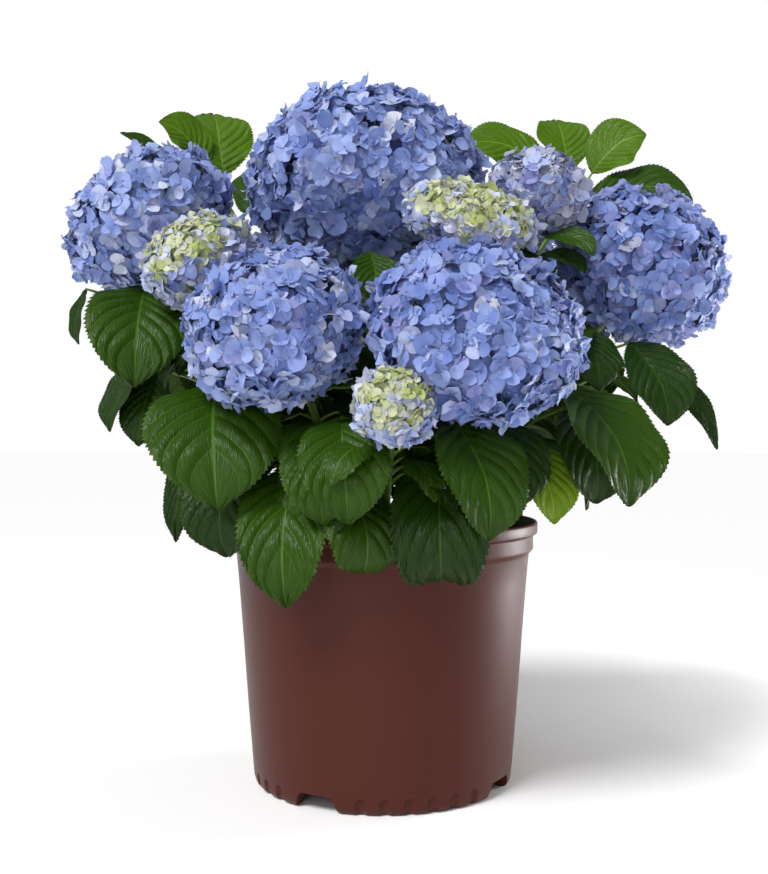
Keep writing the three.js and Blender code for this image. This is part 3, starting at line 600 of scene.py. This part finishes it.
def blade_pattern(rows_between, across):
    """A blade's rows and columns, where its rows lie between the side veins, its faces and
    what each face is: 0 the upper skin, 1 a vein and 2 the underside."""
    rows, between, lines, is_vein = [0.0], [0.5], [0.0], []
    stops = [0.0] + SIDE_VEINS + [1.0]
    for i, count in enumerate(rows_between):
        low = stops[i] + (VEIN_HALF_WIDTH if i else 0)
        high = stops[i + 1] - (VEIN_HALF_WIDTH if stops[i + 1] < 1 else 0)
        for k in range(1, count + 1):
            rows.append(low + (high - low) * k / count)
            between.append(k / count)
            lines.append(i + k / count)
            is_vein.append(False)
        if high < 1:
            rows.append(high + 2 * VEIN_HALF_WIDTH)
            between.append(0.0)
            lines.append(i + 1)
            is_vein.append(True)
    columns = np.array([-a for a in across[::-1]] + across)
    strips = np.array(is_vein)[:, None] | (np.arange(len(columns) - 1) == len(across) - 1)
    strips[:, [0, -1]] = False
    parts = np.concatenate([np.where(strips, 1, 0).ravel(), np.where(strips, 1, 2).ravel()])
    return (np.array(rows), np.array(between), np.array(lines), columns,
            both_faces(len(rows), len(columns)), parts)


def blade_points(pattern, shoot, leaf, numbers):
    """The points of one blade, the upper ones first, and its map in veins and cells."""
    rows, between, lines, columns, _, _ = pattern
    length, wide = leaf[4:6]
    midrib = blade_frame(shoot, leaf)[2]
    phases = [next(numbers) * math.tau for _ in range(5)]
    v, t = np.meshgrid(rows, columns, indexing="ij")
    edge = np.abs(t)
    share = 1 - (1 - v) ** (1 + (VEIN_ARCH - v) * (0.5 * edge + 0.5 * edge ** 3))
    tooth = np.where(np.arange(len(rows)) % 2 == 0, 1.0, -0.6)[:, None] * (edge > 0.99)
    tooth = tooth * np.gradient(share, axis=0)
    tooth[[0, -1]] = 0
    share = np.clip(share + 0.5 * tooth, 0, 1)
    half = length * wide / 2 * np.maximum(half_width(share), TIP_WIDTH)
    reach = t * half + np.sign(t) * tooth * TOOTH * length
    inner = np.minimum(edge / 0.12, 1) * np.minimum((1 - edge) / 0.15, 1)
    bulge = QUILT * length * (np.sin(np.pi * between) ** 0.8)[:, None] * inner
    ripple = np.sin(edge * 17 + 2.4 * np.floor(lines)[:, None] + phases[4] + 3 * (t < 0))
    bulge *= 1 + QUILT_CHANGE * ripple
    side_phase = np.where(t < 0, phases[0], phases[1])
    wave = WAVE * half * edge ** 2 * np.sin(2.2 * math.tau * share + side_phase)
    curl = MARGIN_CURL * half * edge ** 3 * math.sin(phases[2])
    lift = np.sqrt((edge * half) ** 2 + 2.0) * BLADE_FOLD + bulge + wave - curl
    sway = SWAY * length * np.sin(np.pi * share) * math.sin(phases[3])
    point, side, normal = midrib(share)
    top = point + side * (reach + sway)[..., None] + normal * lift[..., None]
    thick = BLADE_THICKNESS * length * (1 - edge ** 2) * np.sin(np.pi * v) ** 0.4
    thick += MARGIN_THICKNESS
    under = top - normal * thick[..., None]
    cells = np.stack([np.broadcast_to(lines[:, None] * 0.75, v.shape), t * length * wide / 8], -1)
    return (np.concatenate([top.reshape(-1, 3), under[1:-1, 1:-1].reshape(-1, 3)]),
            np.concatenate([cells.reshape(-1, 2), cells[1:-1, 1:-1].reshape(-1, 2)]))


def vein_net_group():
    """The fine net of veins in a leaf's skin, sunk a little, from the blade's own map."""
    group = bpy.data.node_groups.new("vein_net", "ShaderNodeTree")
    socket = group.interface.new_socket
    socket(name="Cells", in_out="INPUT", socket_type="NodeSocketFloat")
    socket(name="Strength", in_out="INPUT", socket_type="NodeSocketFloat")
    socket(name="Normal", in_out="OUTPUT", socket_type="NodeSocketVector")
    nodes, links = group.nodes, group.links
    given, out = nodes.new("NodeGroupInput"), nodes.new("NodeGroupOutput")
    where = nodes.new("ShaderNodeUVMap")
    where.uv_map = "blade"
    cells = nodes.new("ShaderNodeTexVoronoi")
    cells.feature = "DISTANCE_TO_EDGE"
    bump = nodes.new("ShaderNodeBump")
    bump.inputs["Distance"].default_value = 0.0012
    links.new(where.outputs["UV"], cells.inputs["Vector"])
    links.new(given.outputs["Cells"], cells.inputs["Scale"])
    links.new(given.outputs["Strength"], bump.inputs["Strength"])
    links.new(cells.outputs["Distance"], bump.inputs["Height"])
    links.new(bump.outputs["Normal"], out.inputs["Normal"])
    return group


VEIN_NET = vein_net_group()
# the deep tone is partly painted shade: leaves that lie in shade under the flower heads and at the
# right are given it
BLADE_TONES = [
    ("deep", "#193203", "#2a4a10", "#25380e"),
    ("mid", "#284403", "#40631a", "#3a5214"),
    ("bright", "#476a06", "#658a28", "#567620"),
    ("pale", "#6d8c1c", "#8eaa44", "#7a9038"),
]
# each part of a blade: its roughness and how deep the net of veins is in it
BLADE_PARTS = [("face", 0.38, 0.6), ("vein", 0.45, 0), ("underside", 0.6, 0.8)]
blade_materials = []
for tone, *colours in BLADE_TONES:
    for (part, roughness, net), colour in zip(BLADE_PARTS, colours):
        material = finish(f"{tone}_leaf_{part}", colour, roughness, Specular_IOR_Level=0.18)
        if net:
            nodes, links = material.node_tree.nodes, material.node_tree.links
            cells = nodes.new("ShaderNodeGroup")
            cells.node_tree = VEIN_NET
            cells.inputs["Cells"].default_value = 2.2
            cells.inputs["Strength"].default_value = net
            links.new(cells.outputs["Normal"], nodes["Principled BSDF"].inputs["Normal"])
        blade_materials.append(material)

FULL_BLADE = blade_pattern([8, 10, 10, 9, 8, 7, 6, 6],
                           [0.022, 0.14, 0.29, 0.45, 0.61, 0.76, 0.89, 1.0])
SMALL_BLADE = blade_pattern([2, 4, 4, 4, 3, 3, 2, 2], [0.03, 0.36, 0.70, 1.0])
for number, (name, shoot) in enumerate(SHOOTS.items()):
    points, maps, faces, tones, first = [], [], [], [], 0
    for i, leaf in enumerate(shoot["leaves"] + shoot["small"]):
        pattern = FULL_BLADE if i < len(shoot["leaves"]) else SMALL_BLADE
        blade_faces, blade_parts = pattern[4:]
        numbers = numbers_from(BLADE_SEED + number * 50 + i)
        spots, cells = blade_points(pattern, shoot, leaf, numbers)
        points.append(spots)
        maps.append(cells[blade_faces.ravel()] + i * MAP_STEP)
        faces.append(blade_faces + first)
        tones.append(blade_parts + PARTS_PER_TONE * leaf[-1])
        first += len(spots)
    blades = mesh_from_arrays(name + "_leaf_blades", np.concatenate(points) * MM,
                              np.concatenate(faces), np.concatenate(tones))
    blades.uv_layers.new(name="blade").data.foreach_set(
        "uv", np.concatenate(maps).astype(np.float32).ravel())
    piece(name + "_leaf_blades", blades, blade_materials, "leaf", name + "_leaves")

# ---------------------------------------------------------------- flower heads
# Each head is a dome of sterile flowers, each of four broad papery sepals round a small bead,
# on thin stalks that branch from its neck. Open heads are periwinkle blue. Young ones are
# greenish cream in the middle, with larger pale flowers round the edge.

CORE_SHARE, UNDERSIDE, GOLDEN_TURN, FLOWER_COVER, HEAD_SEED = 0.77, 0.92, 137.508, 3.7, 40
# how far out the flowers sit, as shares of the head's radius, and how each one is turned and sized
FLOWER_DEPTH, DEPTH_LUMP, DEPTH_SPREAD, POLE_DIP = 0.88, 0.08, 0.05, 0.05
FLOWER_SWAY, SWAY_LIMIT, FLOWER_SIZES, FLOWER_CUPS = 0.29, 0.45, (0.82, 1.15), (0.10, 0.65)
YOUNG_CUP, YOUNG_UNDER, OWN_TONE_SHARE = 0.25, 60, 0.7
# beads, the collar under the heart, and flower stalks
BEAD_SHARE, BEAD_STAND, CLEARANCE, COLLAR_LENGTH, COLLAR_SIDES = 0.10, 0.9, 0.3, 5, 12
STALK_FOOT_SHARE, FLOWER_STALK_RADIUS = 0.55, 0.7
# how much sepals vary in turn, rise and twist, and between what limits in size, breadth and bend
SEPAL_TURN, SEPAL_RISE, RISE_LIMITS, SEPAL_TWIST = 0.12, 0.32, (-0.5, 0.9), 0.32
SEPAL_SIZES, SEPAL_BREADTHS = (0.84, 1.14), (0.54, 0.69)
SEPAL_FALLS, SEPAL_HOLLOWS = (0.05, 0.55), (-0.25, 0.65)
SEPAL_TIER, SEPAL_RIPPLE, SEPAL_ROUND, SEPAL_THICKNESS = 0.35, 0.06, 0.15, 0.16
ALONG = np.array([0.05, 0.30, 0.66, 1.0])
SEPAL_WIDTHS = np.array([0.20, 0.80, 1.0, 0.70])
SEPAL_ACROSS = np.array([-1.0, -0.36, 0.36, 1.0])
SEPAL_FACES = both_faces(len(ALONG), len(SEPAL_ACROSS))
SEPAL_POINTS = SEPAL_FACES.max() + 1
LATE_SIDE = np.array([0.0, 0.9, 0.0])
# bands of flowers: kind, sepal length, and the heights that the band spans on a unit ball whose
# pole is the head's axis, or in a young head the side where its last flowers open
HEADS = {
    "crown": [("blue", 9.8, 1.0, -0.93)],
    # the two heads at the left take a paler blue mix, painted light; the front right head takes a
    # darker one, painted shade
    "left": [("lit_blue", 8.9, 1.0, -0.93)],
    "front_left": [("lit_blue", 8.7, 1.0, -0.93)],
    "front_right": [("shaded_blue", 8.9, 1.0, -0.93)],
    "right": [("violet", 8.6, 1.0, -0.93)],
    "back_left": [("blue", 10.0, 1.0, -0.93)],
    "back_right": [("blue", 10.0, 1.0, -0.93)],
    "upper_right": [("ageing", 8.2, 1.0, -0.93)],
    "middle": [("young", 5.8, 1.0, 0.45), ("young_edge", 7.6, 0.62, -0.93)],
    "left_young": [("young", 5.8, 1.0, 0.50), ("young_edge", 7.8, 0.68, -0.93)],
    "low_young": [("young", 5.0, 1.0, 0.40), ("young_edge", 6.8, 0.60, -0.93)],
    "back_young": [("young", 5.8, 1.0, 0.45), ("young_edge", 7.8, 0.62, -0.93)],
}
SEPAL_TONES = [
    ("deep_blue", "#6075b6"), ("blue", "#778bca"), ("light_blue", "#8c9ed6"),
    ("violet_blue", "#7f87c2"), ("pale_blue", "#a6b2dc"), ("white_blue", "#c2c9e0"),
    ("grey_lavender", "#9699b4"), ("cream", "#c0c6a0"), ("lime", "#a0ac62"),
]
# the second and third mixes are the blue mix made paler for heads in fuller light and darker for the
# shaded head: painted light and painted shade
PALETTES = {
    "blue": [0.13, 0.32, 0.32, 0.07, 0.14, 0.02, 0, 0, 0],
    "lit_blue": [0.10, 0.28, 0.32, 0.08, 0.17, 0.05, 0, 0, 0],
    "shaded_blue": [0.30, 0.34, 0.17, 0.12, 0.06, 0.01, 0, 0, 0],
    "violet": [0.34, 0.26, 0.08, 0.24, 0.05, 0, 0.03, 0, 0],
    "ageing": [0.04, 0.08, 0.08, 0.14, 0.18, 0.08, 0.40, 0, 0],
    "young_edge": [0.02, 0.05, 0.12, 0.06, 0.27, 0.26, 0.12, 0.10, 0],
    "young_cream": [0, 0, 0, 0, 0.05, 0.30, 0.05, 0.52, 0.08],
    "young_green": [0, 0, 0, 0, 0, 0.03, 0.01, 0.42, 0.54],
}


def unit(vectors):
    """Vectors made one long."""
    return vectors / np.linalg.norm(vectors, axis=-1, keepdims=True)


def sepal_points(middle, out, side, length, cup, draw):
    """The sepals of many flowers, four to each, every one with its own bend, cup and twist."""
    count = len(middle)
    spin = np.arange(4) * math.pi / 2 + draw.normal(0, SEPAL_TURN, (count, 4))
    across = np.cross(out, side)[:, None, :]
    forward = side[:, None, :] * np.cos(spin)[..., None] + across * np.sin(spin)[..., None]
    left = np.cross(out[:, None, :], forward)
    size = length[:, None] * draw.uniform(*SEPAL_SIZES, (count, 4))
    broad = size * draw.uniform(*SEPAL_BREADTHS, (count, 4))
    rise = np.clip(cup[:, None] + draw.normal(0, SEPAL_RISE, (count, 4)), *RISE_LIMITS)
    fall = draw.uniform(*SEPAL_FALLS, (count, 4)) + cup[:, None] * 0.3
    hollow = draw.uniform(*SEPAL_HOLLOWS, (count, 4))
    twist = draw.normal(0, SEPAL_TWIST, (count, 4))
    tier = np.where(np.arange(4) % 2 == 0, SEPAL_TIER, -SEPAL_TIER) * np.ones((count, 1))
    a, w, t = ALONG[:, None], SEPAL_WIDTHS[:, None], SEPAL_ACROSS[None, :]
    size, broad, rise, fall, hollow, twist, tier, phase = (
        value[:, :, None, None] for value in (size, broad, rise, fall, hollow, twist, tier, spin * 3))
    x = size * (a - SEPAL_ROUND * t ** 2 * a ** 3)
    y = broad * w * t
    z = (rise * size * a ** 1.5 - fall * size * a ** 2 + hollow * broad * w * (t ** 2 - 0.4)
         + twist * y * a + tier + size * SEPAL_RIPPLE * np.sin(4.4 * t + 7.0 * a + phase))
    where = (x[..., None] * forward[:, :, None, None, :] + y[..., None] * left[:, :, None, None, :]
             + z[..., None] * out[:, None, None, None, :]) + middle[:, None, None, None, :]
    under = where[:, :, 1:-1, 1:-1] - SEPAL_THICKNESS * out[:, None, None, None, :]
    return np.concatenate([where.reshape(count * 4, -1, 3), under.reshape(count * 4, -1, 3)], 1)


sepal_materials = [finish("sepal_" + tone, colour, 0.6, Subsurface_Weight=0.35,
                          Subsurface_Radius=(0.8, 0.9, 1.0), Subsurface_Scale=0.002)
                   for tone, colour in SEPAL_TONES]
bead_blue = finish("flower_bead", "#8b97d0", 0.5)
# the heart's colour is painted shade: dark blue, or dull green in young heads, like the shadow
# between the flowers
heart_painted_shades = {"open_bloom": finish("blue_flower_stalks", "#46548f", 0.8),
                "young_bloom": finish("young_flower_stalks", "#71804a", 0.8)}
flower_stalk = finish("flower_stalk", "#7e9172", 0.6)

for number, (name, bands) in enumerate(HEADS.items()):
    draw = np.random.default_rng(HEAD_SEED + number)
    radius, flat = SHOOTS[name]["head"][3:5]
    middle, axis, u, v = head_frame(SHOOTS[name]["head"])
    pole = unit(axis + LATE_SIDE * np.sign(middle[1])) if len(bands) > 1 else axis
    pole_u = unit(np.cross(pole, [0.0, 1.0, 0.2]))
    around = np.stack([pole_u, pole, np.cross(pole_u, pole)])
    grown = []
    for kind, sepal, high, low in bands:
        count = round(FLOWER_COVER * (high - low) * (radius / sepal) ** 2)
        height = high - (high - low) * (np.arange(count) + 0.5) / count
        turn = math.radians(GOLDEN_TURN) * np.arange(count) + draw.normal(0, 0.05, count)
        ring = np.sqrt(1 - height ** 2)
        towards = np.stack([ring * np.cos(turn), height, ring * np.sin(turn)], 1) @ around
        high_share = (towards @ axis)[:, None]
        depth = np.where(high_share > 0, flat, flat * UNDERSIDE)
        lumps = np.array([noise.noise(Vector(spot) * 3.0 + Vector((number, 0, 0)))
                          for spot in towards])
        sunk = FLOWER_DEPTH + DEPTH_LUMP * lumps + draw.uniform(-DEPTH_SPREAD, DEPTH_SPREAD, count)
        sunk -= POLE_DIP * np.maximum(high_share[:, 0], 0) ** 2
        surface = (towards + axis * high_share * (depth - 1)) * radius * sunk[:, None]
        sway = np.clip(draw.normal(0, FLOWER_SWAY, (count, 3)), -SWAY_LIMIT, SWAY_LIMIT)
        out = unit(unit(towards + axis * high_share * (1 / depth - 1)) + sway)
        mixes = ["young_green" if kind == "young" and lump > 0.02 else
                 "young_cream" if kind == "young" else kind for lump in lumps]
        shares = np.cumsum([PALETTES[mix] for mix in mixes], 1)
        tone = (draw.random((count, 1)) > shares).sum(1)
        own = (draw.random((count, 4, 1)) > shares[:, None]).sum(2)
        grown.append((surface, out, sepal * draw.uniform(*FLOWER_SIZES, count),
                      draw.uniform(*FLOWER_CUPS, count) + (YOUNG_CUP if kind == "young" else 0),
                      np.where(draw.random((count, 4)) < OWN_TONE_SHARE, tone[:, None], own)))
    surface, out, length, cup, tone = (np.concatenate(values) for values in zip(*grown))
    count = len(surface)
    side = unit(np.cross(out, draw.normal(size=(count, 3))))
    flowers = middle + surface
    slot = "open_bloom" if radius > YOUNG_UNDER else "young_bloom"

    sepals = sepal_points(flowers, out, side, length, cup, draw)
    sepal_mesh = mesh_from_arrays(name + "_sepals", sepals * MM,
                                  repeated(SEPAL_FACES, SEPAL_POINTS, count * 4),
                                  np.repeat(tone.ravel(), len(SEPAL_FACES)))
    piece(name + "_sepals", sepal_mesh, sepal_materials, slot, name + "_bloom")

    beads = BALL_POINTS * BEAD_SHARE * length[:, None, None] + (flowers + out * BEAD_STAND)[:, None]
    bead_mesh = mesh_from_arrays(name + "_beads", beads * MM,
                                 repeated(BALL_FACES, len(BALL_POINTS), count))
    piece(name + "_beads", bead_mesh, [bead_blue], slot, name + "_bloom")

    # a dark lumpy ball inside the flowers, painted shade that shows in the gaps between them; a
    # collar joins it to the neck
    heart_bm = bmesh.new()
    bmesh.ops.create_icosphere(heart_bm, subdivisions=4, radius=1)
    for vert in heart_bm.verts:
        lump = CORE_SHARE * (1 + 0.05 * noise.noise(vert.co * 4)) * radius
        deep = flat if vert.co.y > 0 else flat * UNDERSIDE
        spot = u * vert.co.x + axis * vert.co.y * deep + v * vert.co.z
        vert.co = Vector(middle + spot * lump) * MM
    neck = shoot_point(SHOOTS[name], 1.0)
    heading = unit(neck - shoot_point(SHOOTS[name], 0.97))
    collar = neck + heading * COLLAR_LENGTH
    grow_limb(heart_bm, [neck + heading * CLEARANCE, collar, (collar + middle) / 2, middle],
              [shoot_radius(SHOOTS[name], 1) * swell for swell in (1, 1, 1.3, 1.6)],
              COLLAR_SIDES, part=1)
    heart = mesh_of(name + "_head_heart", heart_bm)
    piece(name + "_head_heart", heart, [heart_painted_shades[slot], flower_stalk], slot, name + "_bloom")

    foot = middle + surface * STALK_FOOT_SHARE
    corner = unit(np.cross(flowers - foot, side))
    other = unit(np.cross(flowers - foot, corner))
    angles = np.arange(3) * math.tau / 3
    round_rod = (np.cos(angles)[None, :, None] * corner[:, None]
                 + np.sin(angles)[None, :, None] * other[:, None]) * FLOWER_STALK_RADIUS
    rods = np.stack([foot[:, None] + round_rod, flowers[:, None] + round_rod], 1)
    rod_faces = np.array([[0, 1, 4], [0, 4, 3], [1, 2, 5], [1, 5, 4], [2, 0, 3], [2, 3, 5],
                          [0, 2, 1], [3, 4, 5]])
    rod_mesh = mesh_from_arrays(name + "_flower_stalks", rods * MM, repeated(rod_faces, 6, count))
    piece(name + "_flower_stalks", rod_mesh, [flower_stalk], slot, name + "_bloom")

# ---------------------------------------------------------------- floor, lights and camera
# A plain white studio floor and backdrop. A high sun with a wide soft disc shines from the front
# left, a broad lamp fills in from the front, a tall strip lights the left side faintly, and a
# small low panel at the right puts a soft pale edge on the pot.

FLOOR_RADIUS = 9
ROOM_LIGHT, BACKDROP_LIGHT, SUN_LIGHT, SUN_WIDTH = 0.33, 1.0, 2.9, 24
SUN_TILT, SUN_TURN = 40, -38
FOCAL_LENGTH, SENSOR_WIDTH, FRAME_SHIFT = 49.02, 36, -0.0217
CAMERA_PLACE = (0.001, -0.930, 0.279)

floor_bm = bmesh.new()
bmesh.ops.create_circle(floor_bm, cap_ends=True, segments=64, radius=FLOOR_RADIUS)
floor_mesh = mesh_of("studio_floor", floor_bm)
floor_mesh.materials.append(finish("white_floor", "#fdfdfd", 0.8))
studio_floor = bpy.data.objects.new("studio_floor", floor_mesh)
bpy.context.scene.collection.objects.link(studio_floor)


def soft_lamp(name, place, aim, width, height, power):
    """A lamp with a flat panel of light, in metres and watts, turned to what it aims at."""
    lamp = bpy.data.lights.new(name, "AREA")
    lamp.shape, lamp.size, lamp.size_y, lamp.energy = "RECTANGLE", width, height, power
    held = bpy.data.objects.new(name, lamp)
    held.location = place
    held.rotation_euler = (Vector(aim) - Vector(place)).to_track_quat("-Z", "Y").to_euler()
    bpy.context.scene.collection.objects.link(held)


soft_lamp("front_lamp", (-0.6, -2.4, 0.6), (0, 0, 0.3), 1.6, 1.6, 17)
soft_lamp("left_strip", (-1.15, 0.25, 0.35), (0, 0, 0.25), 0.3, 1.4, 1)
soft_lamp("right_panel", (1.0, 0.36, 0.10), (0, 0, 0.08), 0.4, 0.4, 12)
high_sun = bpy.data.lights.new("high_window", "SUN")
high_sun.energy, high_sun.angle = SUN_LIGHT, math.radians(SUN_WIDTH)
high_window = bpy.data.objects.new("high_window", high_sun)
high_window.rotation_euler = (math.radians(SUN_TILT), 0, math.radians(SUN_TURN))
bpy.context.scene.collection.objects.link(high_window)

studio = bpy.data.worlds.new("white_studio")
studio.use_nodes = True
studio_nodes, studio_links = studio.node_tree.nodes, studio.node_tree.links
studio_nodes["Background"].inputs["Color"].default_value = (1, 1, 1, 1)
studio_nodes["Background"].inputs["Strength"].default_value = ROOM_LIGHT
backdrop = studio_nodes.new("ShaderNodeBackground")
backdrop.inputs["Color"].default_value = (1, 1, 1, 1)
backdrop.inputs["Strength"].default_value = BACKDROP_LIGHT
seen = studio_nodes.new("ShaderNodeLightPath")
either = studio_nodes.new("ShaderNodeMixShader")
studio_links.new(seen.outputs["Is Camera Ray"], either.inputs["Fac"])
studio_links.new(studio_nodes["Background"].outputs["Background"], either.inputs[1])
studio_links.new(backdrop.outputs["Background"], either.inputs[2])
studio_links.new(either.outputs["Shader"], studio_nodes["World Output"].inputs["Surface"])
bpy.context.scene.world = studio
bpy.context.scene.view_settings.view_transform = "Standard"

lens = bpy.data.cameras.new("front_camera")
lens.lens, lens.sensor_width, lens.shift_y = FOCAL_LENGTH, SENSOR_WIDTH, FRAME_SHIFT
lens.dof.use_dof = False
camera = bpy.data.objects.new("front_camera", lens)
camera.location = CAMERA_PLACE
camera.rotation_euler = (math.radians(90), 0, 0)
bpy.context.scene.collection.objects.link(camera)
bpy.context.scene.camera = camera

bpy.context.view_layer.update()
